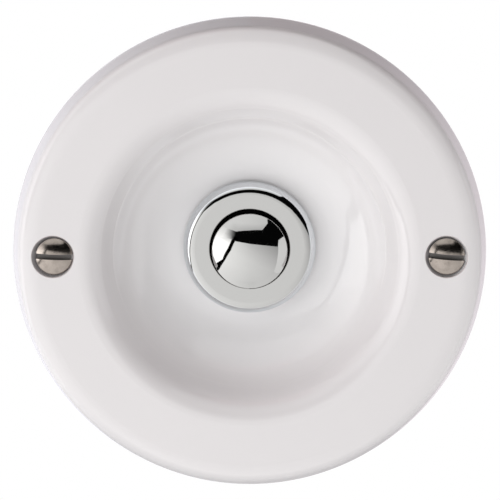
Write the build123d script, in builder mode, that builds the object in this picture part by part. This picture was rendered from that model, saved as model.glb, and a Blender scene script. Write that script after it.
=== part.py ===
from build123d import *
import os
from math import atan2, cos, degrees, hypot, radians, sin, tan

# A round glazed ceramic doorbell push: a dished rose, a chrome bezel and a sprung domed button
# over a two-pole contact block. Lengths are in millimetres and angles in degrees.
# The wall is the plane Y = 0, the front looks along -Y and +Z is up.
# Every "height" below is a distance out from the wall, along -Y.

# Rose
rose_diameter = 76.0
rose_height = 20.0
rim_drop = 6.4
rim_blend_radius = 4.0
rim_draft = 9.0
shoulder_radius = 6.4
shoulder_slope = 20.0
edge_radius = 1.5
back_taper = 10.0
back_edge_radius = 0.8
dish_depth = 11.0
dish_slope = 52.0
lip_radius = 4.6
shell_thickness = 4.0
floor_margin = 0.45
mouth_margin = 0.75

# Fixing screws and their holes in the rose
screw_inset = 6.4
left_screw_shift = 0.25
left_slot_angle = -1.7
right_slot_angle = -4.8
recess_edge_radius = 0.15
screw_head_diameter = 5.95
screw_head_drop = 0.35
screw_head_land = 0.15
screw_head_rise = 0.9
screw_shank_diameter = 3.2
screw_core_diameter = 2.3
screw_thread_length = 16.0
screw_point_length = 4.0
screw_slot_width = 0.86
screw_slot_depth = 1.3
countersink_angle = 90.0

# Button
button_diameter = 12.15
button_stand = 2.4
button_travel = 2.0
dome_rise = 2.2
dome_edge_radius = 0.15
stop_flange_width = 0.725
stop_flange_thickness = 1.2
plunger_socket_depth = 5.0

# Bezel
flange_cover = 2.35
bezel_height = 2.75
bezel_edge_width = 1.85
bezel_edge_drop = 1.5
bezel_mouth_radius = 0.12
guide_length = 4.0
barrel_wall = 1.05
barrel_end_chamfer = 0.3

# Washers and nut behind the rose
gasket_thickness = 0.4
gasket_setback = 0.4
clamp_washer_width = 3.2
clamp_washer_thickness = 0.8
nut_sides = 6
nut_wall = 2.45
nut_thickness = 2.5
nut_chamfer_angle = 30.0

# Contact block
thread_engagement = 4.3
block_boss_height = 3.4
block_wall = 1.0
block_edge_chamfer = 0.5
insert_cover = 0.8
flute_count = 16
flute_radius = 1.2
flute_depth = 0.35
barrier_thickness = 2.0
barrier_height = 2.6
barrier_edge_radius = 0.5

# Contacts, terminals and plunger
contact_thickness = 0.5
contact_width = 4.0
contact_bend_radius = 0.4
contact_end_radius = 1.2
terminal_leg_margin = 2.4
insert_diameter = 4.2
insert_length = 2.6
terminal_screw_diameter = 3.0
terminal_head_diameter = 5.2
terminal_head_height = 1.8
terminal_head_edge = 0.3
terminal_slot_width = 0.8
terminal_slot_depth = 0.9
terminal_washer_diameter = 5.6
terminal_washer_thickness = 0.6
plunger_diameter = 4.8
plunger_pin_diameter = 2.2
stake_head_diameter = 3.4
stake_head_height = 0.6
bridge_thickness = 0.8

# Return spring
spring_wire = 0.6
spring_turns = 4.5

# Clearances, each on the radius unless it lies along the axis
guide_clearance = 0.375
flange_clearance = 0.15
barrel_hole_clearance = 0.3
thread_clearance = 0.05
boss_clearance = 0.2
press_clearance = 0.02
spring_clearance = 0.6
spring_riser_gap = 0.85
slot_clearance = 0.05
stake_clearance = 0.4
riser_clearance = 0.4
insert_spacing = 0.6
recess_margin = 0.375
screw_hole_clearance = 0.4
screw_seat_gap = 0.325
barrel_end_gap = 0.1
terminal_end_gap = 0.2
socket_end_gap = 0.2
contact_gap_spare = 0.05

# Heights along the axis, from the face back to the terminals
floor_height = rose_height - dish_depth
floor_back_height = floor_height - shell_thickness
flange_base_height = floor_height + gasket_thickness
bezel_top_height = flange_base_height + bezel_height
stop_height = bezel_top_height - guide_length
button_base_height = stop_height - stop_flange_thickness
dome_edge_height = bezel_top_height + button_stand
crown_height = dome_edge_height + dome_rise
nut_front_height = floor_back_height - clamp_washer_thickness
nut_back_height = nut_front_height - nut_thickness
groove_height = nut_back_height - thread_engagement
barrel_end_height = groove_height + barrel_end_gap
block_floor_height = groove_height + block_boss_height
base_thickness = insert_length + insert_cover
block_back_height = groove_height - base_thickness
tongue_top_height = block_floor_height + contact_thickness
bridge_base_height = tongue_top_height + button_travel + contact_gap_spare
bridge_top_height = bridge_base_height + bridge_thickness
stake_end_height = bridge_base_height - stake_head_height
stake_recess_height = stake_end_height - button_travel - stake_clearance
socket_end_height = button_base_height + plunger_socket_depth
plunger_end_height = socket_end_height - socket_end_gap
terminal_leg_height = block_back_height - contact_thickness
terminal_washer_height = terminal_leg_height - terminal_washer_thickness
terminal_head_top_height = terminal_washer_height - terminal_head_height
barrier_end_height = block_back_height - barrier_height

# Radii and offsets across the axis
rose_radius = rose_diameter / 2
button_radius = button_diameter / 2
guide_radius = button_radius + guide_clearance
stop_flange_radius = button_radius + stop_flange_width
barrel_bore_radius = stop_flange_radius + flange_clearance
barrel_radius = barrel_bore_radius + barrel_wall
barrel_hole_radius = barrel_radius + barrel_hole_clearance
thread_bore_radius = barrel_radius + thread_clearance
boss_radius = barrel_bore_radius - boss_clearance
bezel_radius = barrel_hole_radius + flange_cover
bezel_top_radius = bezel_radius - bezel_edge_width
bezel_side_height = bezel_top_height - bezel_edge_drop
spring_radius = boss_radius - spring_clearance - spring_wire / 2
riser_outer = spring_radius - spring_wire / 2 - spring_riser_gap
riser_inner = riser_outer - contact_thickness
bridge_radius = riser_inner - riser_clearance
pin_radius = plunger_pin_diameter / 2
stake_head_radius = stake_head_diameter / 2
stake_recess_radius = stake_head_radius + stake_clearance
plunger_radius = plunger_diameter / 2
socket_radius = plunger_radius + press_clearance
tongue_inner = stake_recess_radius + slot_clearance
insert_radius = insert_diameter / 2
terminal_offset = riser_outer + insert_spacing + insert_radius
terminal_leg_end = terminal_offset + terminal_leg_margin
terminal_hole_radius = terminal_screw_diameter / 2 + press_clearance
block_radius = terminal_offset + insert_radius + block_wall
shank_radius = screw_shank_diameter / 2
core_radius = screw_core_diameter / 2
head_radius = screw_head_diameter / 2
recess_radius = head_radius + recess_margin
screw_hole_radius = shank_radius + screw_hole_clearance
screw_place = rose_radius - screw_inset
mouth_radius = screw_place - recess_radius - mouth_margin
floor_radius = bezel_radius + floor_margin
nut_flat_radius = thread_bore_radius + nut_wall

# Half section through the axis: local x is the radius and local y the height
section = Plane(origin=(0, 0, 0), x_dir=(1, 0, 0), z_dir=(0, 0, -1))
same_place = 1e-4


def across(height):
    """The plane parallel to the wall at this height, looking out of the wall."""
    return Plane.XZ.offset(height)


def ring_edges(piece, radius, height):
    """The circular edges of this radius at this height about any axis square to the wall."""
    circles = piece.edges().filter_by(GeomType.CIRCLE)
    return circles.filter_by(
        lambda edge: abs(edge.radius - radius) < same_place
        and abs(edge.arc_center.Y + height) < same_place
    )


def half_section(*points):
    """A closed outline of straight lines on the section plane, ready to be revolved."""
    with BuildSketch(section) as outline:
        with BuildLine():
            Polyline(*points, close=True)
        make_face()
    return outline.sketch


def washer(outer_radius, inner_radius, base, thickness, offsets=(0,)):
    """Flat rings of one size, one at each sideways offset."""
    with BuildPart() as piece:
        with BuildSketch(across(base)):
            with Locations(*[(offset, 0) for offset in offsets]):
                Circle(outer_radius)
                Circle(inner_radius, mode=Mode.SUBTRACT)
        extrude(amount=thickness)
    return piece


# Rose: the rim runs from the flat face over a soft shoulder and a tighter edge to its widest ring,
# then tapers in towards the wall. The dish runs from the lip down a straight wall to a round bowl,
# and the hollow back follows the wall and the bowl.
draft_turn = 90 - rim_draft
shoulder_drop = shoulder_radius * (1 - cos(radians(shoulder_slope)))
edge_drop = edge_radius * (cos(radians(shoulder_slope)) - cos(radians(draft_turn)))
blend_rise = rim_blend_radius * sin(radians(rim_draft))
wall_drop = rim_drop - shoulder_drop - edge_drop - blend_rise
face_radius = (
    rose_radius
    - rim_blend_radius * (1 - cos(radians(rim_draft)))
    - wall_drop * tan(radians(rim_draft))
    - edge_radius * (sin(radians(draft_turn)) - sin(radians(shoulder_slope)))
    - shoulder_radius * sin(radians(shoulder_slope))
)
dish_width = mouth_radius - floor_radius
slope_sine = sin(radians(dish_slope))
slope_cosine = cos(radians(dish_slope))
bowl_radius = (dish_width * slope_sine - dish_depth * slope_cosine) / (1 - slope_cosine) - lip_radius
dish_wall_length = (dish_width - (bowl_radius + lip_radius) * slope_sine) / slope_cosine
cavity_radius = mouth_radius + (shell_thickness - lip_radius) * tan(radians(dish_slope / 2))
inner_bowl_radius = bowl_radius + shell_thickness
inner_bowl_end = (
    floor_radius + inner_bowl_radius * slope_sine,
    floor_height + bowl_radius - inner_bowl_radius * slope_cosine,
)
cone_slope = tan(radians(countersink_angle / 2))
recess_depth = screw_head_drop + screw_head_land + screw_seat_gap - recess_margin / cone_slope

with BuildPart() as rose:
    with BuildSketch(section):
        with BuildLine():
            face = Line((mouth_radius, rose_height), (face_radius, rose_height))
            shoulder = JernArc(face @ 1, face % 1, shoulder_radius, -shoulder_slope)
            edge = JernArc(shoulder @ 1, shoulder % 1, edge_radius, shoulder_slope - draft_turn)
            wall = PolarLine(edge @ 1, wall_drop / cos(radians(rim_draft)), -draft_turn)
            blend = JernArc(wall @ 1, wall % 1, rim_blend_radius, -rim_draft - back_taper)
            taper = blend @ 1
            back_radius = taper.X - taper.Y * tan(radians(back_taper))
            side = Line(taper, (back_radius, 0))
            back = Line(side @ 1, (cavity_radius, 0))
            cavity_wall = Line(back @ 1, (cavity_radius, rose_height - shell_thickness))
            inner_wall = Line(cavity_wall @ 1, inner_bowl_end)
            inner_bowl = JernArc(inner_wall @ 1, inner_wall % 1, inner_bowl_radius, -dish_slope)
            floor_back = Line(inner_bowl @ 1, (barrel_hole_radius, floor_back_height))
            hole = Line(floor_back @ 1, (barrel_hole_radius, floor_height))
            floor = Line(hole @ 1, (floor_radius, floor_height))
            bowl = JernArc(floor @ 1, (1, 0), bowl_radius, dish_slope)
            dish_wall = PolarLine(bowl @ 1, dish_wall_length, dish_slope)
            JernArc(dish_wall @ 1, dish_wall % 1, lip_radius, -dish_slope)
        make_face()
    revolve(axis=Axis.Y)
    fillet(ring_edges(rose, back_radius, 0), radius=back_edge_radius)
    with Locations(across(rose_height - recess_depth)):
        with GridLocations(2 * screw_place, 0, 2, 1):
            CounterSinkHole(
                radius=screw_hole_radius,
                counter_sink_radius=recess_radius,
                counter_sink_angle=countersink_angle,
            )
    fillet(ring_edges(rose, recess_radius, rose_height), radius=recess_edge_radius)
rose.part.label = "rose"

# Bezel: a collar with a flat top and a wide elliptical edge, on a barrel that passes through the rose
with BuildPart() as bezel:
    with BuildSketch(section):
        with BuildLine():
            soft_edge = EllipticalCenterArc(
                (bezel_top_radius, bezel_side_height),
                bezel_edge_width,
                bezel_edge_drop,
                arc_size=90,
            )
            Polyline(
                soft_edge @ 1,
                (guide_radius, bezel_top_height),
                (guide_radius, stop_height),
                (barrel_bore_radius, stop_height),
                (barrel_bore_radius, barrel_end_height),
                (barrel_radius, barrel_end_height),
                (barrel_radius, flange_base_height),
                (bezel_radius, flange_base_height),
                soft_edge @ 0,
            )
        make_face()
    revolve(axis=Axis.Y)
    fillet(ring_edges(bezel, guide_radius, bezel_top_height), radius=bezel_mouth_radius)
    chamfer(ring_edges(bezel, barrel_radius, barrel_end_height), length=barrel_end_chamfer)
bezel.part.label = "bezel"

# Soft washer under the bezel's flange and fibre washer behind the dish floor
bezel_gasket = washer(
    bezel_radius - gasket_setback,
    barrel_hole_radius,
    floor_height,
    gasket_thickness,
)
bezel_gasket.part.label = "bezel_gasket"

clamp_washer = washer(
    barrel_hole_radius + clamp_washer_width,
    barrel_hole_radius,
    nut_front_height,
    clamp_washer_thickness,
)
clamp_washer.part.label = "clamp_washer"

# Lock nut: a thin hexagon with its corners turned off on both faces
corner_radius = nut_flat_radius / cos(radians(180 / nut_sides))
corner_drop = (corner_radius - nut_flat_radius) * tan(radians(nut_chamfer_angle))
with BuildPart() as lock_nut:
    with BuildSketch(across(nut_back_height)):
        RegularPolygon(nut_flat_radius, nut_sides, major_radius=False)
        Circle(thread_bore_radius, mode=Mode.SUBTRACT)
    extrude(amount=nut_thickness)
    turned_corners = half_section(
        (0, nut_back_height),
        (nut_flat_radius, nut_back_height),
        (corner_radius, nut_back_height + corner_drop),
        (corner_radius, nut_front_height - corner_drop),
        (nut_flat_radius, nut_front_height),
        (0, nut_front_height),
    )
    revolve(turned_corners, axis=Axis.Y, mode=Mode.INTERSECT)
lock_nut.part.label = "lock_nut"

# Contact block: a moulded cap screwed on the barrel, with a boss inside it that carries the tongues,
# slots for the risers, pockets for the terminal bushes and a barrier between the terminals
with BuildPart() as contact_block:
    cap = half_section(
        (0, stake_recess_height),
        (stake_recess_radius, stake_recess_height),
        (stake_recess_radius, block_floor_height),
        (boss_radius, block_floor_height),
        (boss_radius, groove_height),
        (thread_bore_radius, groove_height),
        (thread_bore_radius, nut_back_height),
        (block_radius, nut_back_height),
        (block_radius, block_back_height),
        (0, block_back_height),
    )
    revolve(cap, axis=Axis.Y)
    chamfer(ring_edges(contact_block, block_radius, block_back_height), length=block_edge_chamfer)
    with BuildSketch(across(block_back_height)):
        with PolarLocations(block_radius + flute_radius - flute_depth, flute_count):
            Circle(flute_radius)
    extrude(amount=nut_back_height - block_back_height, mode=Mode.SUBTRACT)
    with BuildSketch(across(block_back_height)):
        with GridLocations(riser_inner + riser_outer, 0, 2, 1):
            Rectangle(contact_thickness + 2 * slot_clearance, contact_width + 2 * slot_clearance)
    extrude(amount=block_floor_height - block_back_height, mode=Mode.SUBTRACT)
    with BuildSketch(across(block_back_height)):
        with GridLocations(2 * terminal_offset, 0, 2, 1):
            Circle(insert_radius + press_clearance)
    extrude(amount=insert_length, mode=Mode.SUBTRACT)
    with BuildSketch(across(barrier_end_height)):
        barrier_length = 2 * (block_radius - block_edge_chamfer - flute_depth)
        RectangleRounded(barrier_thickness, barrier_length, barrier_edge_radius)
    extrude(amount=barrier_height)
contact_block.part.label = "contact_block"


def contact_strip():
    """The right-hand strip: a tongue inside the block, a riser through it and a terminal leg behind."""
    with BuildPart() as strip:
        with BuildSketch(section):
            with BuildLine():
                Polyline(
                    (tongue_inner, tongue_top_height),
                    (riser_outer, tongue_top_height),
                    (riser_outer, block_back_height),
                    (terminal_leg_end, block_back_height),
                    (terminal_leg_end, terminal_leg_height),
                    (riser_inner, terminal_leg_height),
                    (riser_inner, block_floor_height),
                    (tongue_inner, block_floor_height),
                    close=True,
                )
            make_face()
        extrude(amount=contact_width / 2, both=True)
        bends = strip.edges().filter_by(Axis.Z)
        tongue_edges = bends.filter_by_position(Axis.Y, -tongue_top_height, -tongue_top_height)
        leg_edges = bends.filter_by_position(Axis.Y, -terminal_leg_height, -terminal_leg_height)
        outer_bends = [tongue_edges.sort_by(Axis.X)[-1], leg_edges.sort_by(Axis.X)[0]]
        fillet(outer_bends, radius=contact_bend_radius)
        fillet(strip.edges().filter_by(Axis.Y).group_by(Axis.X)[-1], radius=contact_end_radius)
        with BuildSketch(across(terminal_leg_height)):
            with Locations((terminal_offset, 0)):
                Circle(terminal_hole_radius)
        extrude(amount=contact_thickness, mode=Mode.SUBTRACT)
    return strip


right_contact = contact_strip()
right_contact.part.label = "right_contact"

with BuildPart() as left_contact:
    mirror(right_contact.part, about=Plane.YZ)
left_contact.part.label = "left_contact"

# Terminals: a moulded-in bush, a wire washer and a cheese-head screw on each side
terminal_sides = (-terminal_offset, terminal_offset)

terminal_inserts = washer(
    insert_radius,
    terminal_hole_radius,
    block_back_height,
    insert_length,
    terminal_sides,
)
terminal_inserts.part.label = "terminal_inserts"

terminal_washers = washer(
    terminal_washer_diameter / 2,
    terminal_hole_radius,
    terminal_washer_height,
    terminal_washer_thickness,
    terminal_sides,
)
terminal_washers.part.label = "terminal_washers"

with BuildPart() as terminal_screws:
    with BuildSketch(across(terminal_head_top_height)):
        with GridLocations(2 * terminal_offset, 0, 2, 1):
            Circle(terminal_head_diameter / 2)
    extrude(amount=terminal_head_height)
    fillet(
        ring_edges(terminal_screws, terminal_head_diameter / 2, terminal_head_top_height),
        radius=terminal_head_edge,
    )
    with BuildSketch(across(terminal_washer_height)):
        with GridLocations(2 * terminal_offset, 0, 2, 1):
            Circle(terminal_screw_diameter / 2)
    extrude(amount=block_back_height + insert_length - terminal_end_gap - terminal_washer_height)
    with BuildSketch(across(terminal_head_top_height)):
        with GridLocations(2 * terminal_offset, 0, 2, 1):
            Rectangle(terminal_slot_width, terminal_head_diameter)
    extrude(amount=terminal_slot_depth, mode=Mode.SUBTRACT)
terminal_screws.part.label = "terminal_screws"

# Return spring: a coil with ground ends between the block's floor and the button's flange
spring_length = button_base_height - block_floor_height
with BuildPart() as return_spring:
    with BuildLine() as coil:
        Helix(
            pitch=spring_length / spring_turns,
            height=spring_length,
            radius=spring_radius,
            center=(0, -block_floor_height, 0),
            direction=(0, -1, 0),
        )
    with BuildSketch(Plane(origin=coil.line @ 0, z_dir=coil.line % 0)):
        Circle(spring_wire / 2)
    sweep()
    split(bisect_by=across(block_floor_height), keep=Keep.TOP)
    split(bisect_by=across(button_base_height), keep=Keep.BOTTOM)
return_spring.part.label = "return_spring"

# Button: a cap with a stop flange at its foot and a blind socket for the plunger. Its dome is cut
# by a whole sphere with its poles up and down, so the face is even right across the crown.
dome_radius = (button_radius**2 + dome_rise**2) / (2 * dome_rise)
with BuildPart() as push_button:
    blank = half_section(
        (0, crown_height),
        (button_radius, crown_height),
        (button_radius, stop_height),
        (stop_flange_radius, stop_height),
        (stop_flange_radius, button_base_height),
        (socket_radius, button_base_height),
        (socket_radius, socket_end_height),
        (0, socket_end_height),
    )
    revolve(blank, axis=Axis.Y)
    with Locations((0, dome_radius - crown_height, 0)):
        Sphere(dome_radius, mode=Mode.INTERSECT)
    fillet(ring_edges(push_button, button_radius, dome_edge_height), radius=dome_edge_radius)
push_button.part.label = "push_button"

# Plunger: an insulating stem with the bridge trapped between its shoulder and its staked end
with BuildPart() as plunger:
    stem = half_section(
        (0, plunger_end_height),
        (plunger_radius, plunger_end_height),
        (plunger_radius, bridge_top_height),
        (pin_radius, bridge_top_height),
        (pin_radius, bridge_base_height),
        (stake_head_radius, bridge_base_height),
        (stake_head_radius, stake_end_height),
        (0, stake_end_height),
    )
    revolve(stem, axis=Axis.Y)
    fillet(
        ring_edges(plunger, stake_head_radius, stake_end_height),
        radius=stake_head_height / 2,
    )
plunger.part.label = "plunger"

contact_bridge = washer(
    bridge_radius,
    pin_radius + press_clearance,
    bridge_base_height,
    bridge_thickness,
)
contact_bridge.part.label = "contact_bridge"

# Fixing screws: raised countersunk heads just below the face, plain shanks through the rose and
# threaded ends that stand out behind the wall plane
rim_height = rose_height - screw_head_drop
cone_top_height = rim_height - screw_head_land
cone_end_height = cone_top_height - (head_radius - shank_radius) / cone_slope
head_crown_height = rim_height + screw_head_rise
crown_turn = 2 * degrees(atan2(screw_head_rise, head_radius))
crown_radius = hypot(head_radius, screw_head_rise) / (2 * sin(radians(crown_turn / 2)))


def fixing_screw(slot_angle):
    """One wood screw on the axis, with its slot turned by this angle seen from the front."""
    with BuildPart() as screw:
        with BuildSketch(section):
            with BuildLine():
                crown = JernArc((0, head_crown_height), (1, 0), crown_radius, -crown_turn)
                Polyline(
                    crown @ 1,
                    (head_radius, cone_top_height),
                    (shank_radius, cone_end_height),
                    (shank_radius, 0),
                    (core_radius, 0),
                    (core_radius, screw_point_length - screw_thread_length),
                    (0, -screw_thread_length),
                    (0, head_crown_height),
                )
            make_face()
        revolve(axis=Axis.Y)
        with BuildSketch(across(head_crown_height)):
            Rectangle(screw_head_diameter, screw_slot_width, rotation=slot_angle)
        extrude(amount=-screw_slot_depth, mode=Mode.SUBTRACT)
    return screw


with BuildPart() as fixing_screws:
    with Locations((left_screw_shift - screw_place, 0, 0)):
        add(fixing_screw(left_slot_angle).part)
    with Locations((screw_place, 0, 0)):
        add(fixing_screw(right_slot_angle).part)
fixing_screws.part.label = "fixing_screws"

# One file for each piece
os.makedirs("parts", exist_ok=True)
pieces = (
    rose,
    bezel,
    bezel_gasket,
    clamp_washer,
    lock_nut,
    contact_block,
    left_contact,
    right_contact,
    terminal_inserts,
    terminal_washers,
    terminal_screws,
    return_spring,
    push_button,
    plunger,
    contact_bridge,
    fixing_screws,
)
for piece in pieces:
    export_step(piece.part, f"parts/{piece.part.label}.step")
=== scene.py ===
"""A round ceramic bell push.

Finishes, screw threads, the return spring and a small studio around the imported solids.
"""

from math import cos, pi, radians, sin

import bpy
from bpy.props import FloatProperty, FloatVectorProperty, PointerProperty
from bpy.types import Operator, Panel, PropertyGroup
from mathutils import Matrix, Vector


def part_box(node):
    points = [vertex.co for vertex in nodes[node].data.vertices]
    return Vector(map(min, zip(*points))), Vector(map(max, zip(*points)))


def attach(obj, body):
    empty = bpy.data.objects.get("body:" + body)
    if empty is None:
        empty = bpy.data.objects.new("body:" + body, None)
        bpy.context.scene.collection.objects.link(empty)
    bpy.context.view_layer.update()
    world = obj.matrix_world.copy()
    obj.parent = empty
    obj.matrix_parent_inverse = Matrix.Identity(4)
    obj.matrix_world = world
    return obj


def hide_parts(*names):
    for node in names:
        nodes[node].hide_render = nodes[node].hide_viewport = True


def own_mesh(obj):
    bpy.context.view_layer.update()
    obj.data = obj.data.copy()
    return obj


bl_info = {
    "name": "Ceramic Bell Push",
    "version": (1, 0, 0),
    "blender": (4, 5, 0),
    "location": "3D View > Sidebar > Bell Push",
    "description": "Finishes, screw threads, return spring and studio for a round ceramic bell push",
    "category": "Object",
}

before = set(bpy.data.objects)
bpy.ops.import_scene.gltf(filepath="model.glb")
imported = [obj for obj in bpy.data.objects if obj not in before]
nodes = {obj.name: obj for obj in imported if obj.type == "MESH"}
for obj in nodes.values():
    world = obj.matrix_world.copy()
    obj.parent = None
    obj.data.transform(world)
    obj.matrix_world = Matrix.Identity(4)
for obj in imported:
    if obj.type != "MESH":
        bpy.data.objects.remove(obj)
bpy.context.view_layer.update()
MILLIMETRE = 0.001
FIXED_BODY = "rose_body"
WHITE = (1.0, 1.0, 1.0)

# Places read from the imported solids
screw_low, screw_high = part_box("fixing_screws")
spring_low, spring_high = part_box("return_spring")
face_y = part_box("rose")[0].y
bezel_top_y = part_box("bezel")[0].y
head_radius = (screw_high.z - screw_low.z) / 2
left_screw_x = screw_low.x + head_radius
right_screw_x = screw_high.x - head_radius
screw_point_y = screw_high.y

# Sizes of the solids that their boxes don't give
mouth_radius = 6.45 * MILLIMETRE
screw_slot_depth = 1.3 * MILLIMETRE

# Soft random values lie mostly between these two
CLOUD_LOW = 0.3
CLOUD_HIGH = 0.7

# A mix node's colour sockets, by number because its other sockets have the same names
MIX_FIRST = 6
MIX_SECOND = 7
MIX_RESULT = 2

# How finely the screw threads and the spring are drawn
THREAD_STEPS = 40
THREAD_SIDES = 4
COIL_STEPS = 48
WIRE_SIDES = 14

# The thread's height at the tip and the threaded part of the point, as shares
TIP_CREST = 0.15
POINT_THREADED = 0.9

# A quarter turn that lays a tree's Z axis along +Y, into the wall
INTO_WALL = (-pi / 2, 0.0, 0.0)

# The studio's fixed sizes
FLOOR_SIDES = 96
FLOOR_RADIUS = 15.0
SOFT_EDGE_GAP = 12 * MILLIMETRE
CLIP_NEAR = 0.01
CLIP_FAR = 20.0

# The attribute that holds how bright each point of a light card is
LEVEL = "level"


def colour(name, description, default):
    """A colour setting."""
    return FloatVectorProperty(
        name=name, description=description, default=default, size=3, min=0.0, max=1.0, subtype="COLOR"
    )


def length(name, description, default):
    """A length setting in metres."""
    return FloatProperty(
        name=name, description=description, default=default, min=0.0, unit="LENGTH", precision=5
    )


def share(name, description, default):
    """A setting between 0 and 1."""
    return FloatProperty(
        name=name, description=description, default=default, min=0.0, max=1.0, subtype="FACTOR"
    )


def angle(name, description, default):
    """An angle setting, given here in degrees."""
    return FloatProperty(
        name=name, description=description, default=radians(default), subtype="ANGLE"
    )


def light(name, description, default):
    """The light of a card, where 1 looks just white."""
    return FloatVectorProperty(
        name=name, description=description, default=default, size=3, min=0.0, subtype="COLOR"
    )


class CeramicFinish(PropertyGroup):
    """The rose's glaze, with its painted light and shade, and its bare foot."""

    glaze: colour("Glaze", "Colour of the white glaze", (0.828, 0.801, 0.804))
    # Painted light: the dish's floor is painted lighter to lift the shade that the bezel and the dish cast
    # on it.
    dish_light: colour(
        "Pooled glaze", "Colour where the glaze pools thick in the dish", (0.972, 0.956, 0.960)
    )
    # Painted shade: the dish's wall is painted darker round its middle.
    wall_shade: colour(
        "Wall glaze", "Colour where the glaze runs thin on the dish's wall", (0.790, 0.763, 0.767)
    )
    wall_middle: length("Wall middle", "Distance of the wall's middle from the axis", 23.5 * MILLIMETRE)
    # Painted shade: the lower rim, which faces down, is painted darker from this radius out.
    rim_shade: colour("Rim glaze", "Colour where the glaze thins over the lower rim", (0.640, 0.620, 0.627))
    rim_start: length("Rim start", "Distance from the axis where the rim's glaze starts", 35.6 * MILLIMETRE)
    # Painted light: the dish's floor is lifted fully inside the first radius and not at all past the
    # second.
    dish_light_inner: length("Pool inner radius", "Where the glaze is at its thickest", 10.0 * MILLIMETRE)
    dish_light_outer: length("Pool outer radius", "Where the pooled glaze ends", 24.0 * MILLIMETRE)
    thin_glaze: colour("Thin glaze", "Colour where the glaze thins over a sharp edge", (0.42, 0.33, 0.32))
    thin_strength: share("Thin glaze strength", "How strongly the thin glaze shows", 0.6)
    # Painted shade: this colour darkens the screw recesses for the shade round the screw heads; they are
    # rougher there too.
    recess: colour("Recess", "Colour of the dull clay inside the screw recesses", (0.42, 0.395, 0.40))
    bisque: colour("Bare foot", "Colour of the unglazed ring at the back", (0.66, 0.61, 0.54))
    gloss: share("Glaze roughness", "Roughness of the glaze", 0.05)
    dull_roughness: share("Clay roughness", "Roughness of the recesses and the bare foot", 0.45)
    ripple: length("Ripple height", "Height of the glaze's faint waves", 0.006 * MILLIMETRE)
    ripple_width: length("Ripple width", "Width of the glaze's faint waves", 9.0 * MILLIMETRE)
    throwing: length("Throwing rings", "Height of the faint turned rings in the dish", 0.007 * MILLIMETRE)
    throwing_width: length("Throwing ring width", "Width of the turned rings", 0.9 * MILLIMETRE)
    ridge: length("Ridge", "Height of the turned ridge round the dish's wall", 0.110 * MILLIMETRE)
    ridge_radius: length("Ridge radius", "Distance of the ridge from the axis", 21.75 * MILLIMETRE)
    outer_ridge: length(
        "Outer ridge", "Height of the second ridge, near the dish's lip", 0.030 * MILLIMETRE
    )
    outer_radius: length(
        "Outer ridge radius", "Distance of the second ridge from the axis", 23.8 * MILLIMETRE
    )
    ridge_rise: length("Ridge rise", "Width of each ridge's gentle side", 1.4 * MILLIMETRE)
    ridge_fall: length("Ridge fall", "Width of each ridge's steep side", 0.25 * MILLIMETRE)
    easing: length(
        "Easing", "How much the glaze eases the bend at the foot of the dish's wall", 0.42 * MILLIMETRE
    )
    easing_inner: length("Easing inner radius", "Where the easing starts", 16.6 * MILLIMETRE)
    easing_outer: length("Easing outer radius", "Where the easing ends", 21.5 * MILLIMETRE)
    foot_depth: length("Foot depth", "How far the bare foot reaches from the wall", 0.35 * MILLIMETRE)
    recess_place: length("Recess place", "Distance of the screw recesses from the axis", 31.6 * MILLIMETRE)
    recess_radius: length("Recess radius", "Radius of the screw recesses", 3.4 * MILLIMETRE)
    thin_width: length("Thin glaze width", "Width of the thin line round each recess", 0.12 * MILLIMETRE)


class MetalFinish(PropertyGroup):
    """The plated and plain metals."""

    chrome: colour("Chrome", "Colour of the bezel's face and the button", (0.520, 0.517, 0.507))
    # Painted light: a lighter copy of the chrome for the bezel's rounded outer edge.
    lit_edge_chrome: colour(
        "Bright chrome", "Colour of the bezel's rounded outer edge", (0.715, 0.740, 0.760)
    )
    lit_edge_from: length(
        "Bright edge", "Distance from the axis where the bright edge starts", 9.65 * MILLIMETRE
    )
    chrome_roughness: share("Chrome roughness", "Roughness of the chrome", 0.03)
    flat_start: length(
        "Flat rim", "Distance from the axis where the button's polished rim flattens", 5.03 * MILLIMETRE
    )
    flat_bend: share("Flat rim bend", "Slope that the polish takes off in each millimetre", 0.2)
    # Painted shade: this dark colour stands for the shade in the gap inside the bezel's mouth, round the
    # button.
    bare: colour(
        "Bare metal", "Colour of the unplated metal inside the bezel's mouth", (0.050, 0.043, 0.040)
    )
    mouth_roughness: share("Bare roughness", "Roughness that the bare metal adds", 0.6)
    # Grime and painted shade: this colour darkens the bottom of the slots and the head behind them, where
    # the recess shades it.
    slot: colour("Slot", "Colour of the dirt in the screw slots", (0.190, 0.180, 0.175))
    slot_roughness: share("Slot roughness", "Roughness that the dirt adds", 0.4)
    nickel: colour("Nickel", "Colour of the fixing screws", (0.390, 0.343, 0.306))
    nickel_dark: colour("Dull nickel", "Colour of the nickel where it has dulled", (0.293, 0.254, 0.227))
    brass: colour("Brass", "Colour of the contacts, terminals and nut", (0.76, 0.58, 0.30))
    brass_dark: colour("Dull brass", "Colour of the brass where it has dulled", (0.45, 0.31, 0.13))
    steel: colour("Spring steel", "Colour of the return spring", (0.56, 0.56, 0.57))


class MouldingFinish(PropertyGroup):
    """The insulating pieces."""

    block: colour("Block", "Colour of the moulded contact block", (0.022, 0.020, 0.019))
    fibre: colour("Fibre", "Colour of the fibre washer", (0.34, 0.10, 0.06))
    soft_washer: colour("Soft washer", "Colour of the washer under the bezel", (0.20, 0.20, 0.20))
    nylon: colour("Plunger", "Colour of the plunger", (0.78, 0.76, 0.70))


class ThreadShape(PropertyGroup):
    """The threads of the two fixing screws."""

    core: length("Core radius", "Radius at the root of the thread", 1.12 * MILLIMETRE)
    crest: length("Crest height", "Height of the thread above its root", 0.48 * MILLIMETRE)
    pitch: length("Pitch", "Distance from one turn to the next", 1.25 * MILLIMETRE)
    start: length("Start", "Where the thread starts behind the wall plane", 0.6 * MILLIMETRE)
    point: length("Point", "Length of the tapered point", 4.0 * MILLIMETRE)


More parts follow.
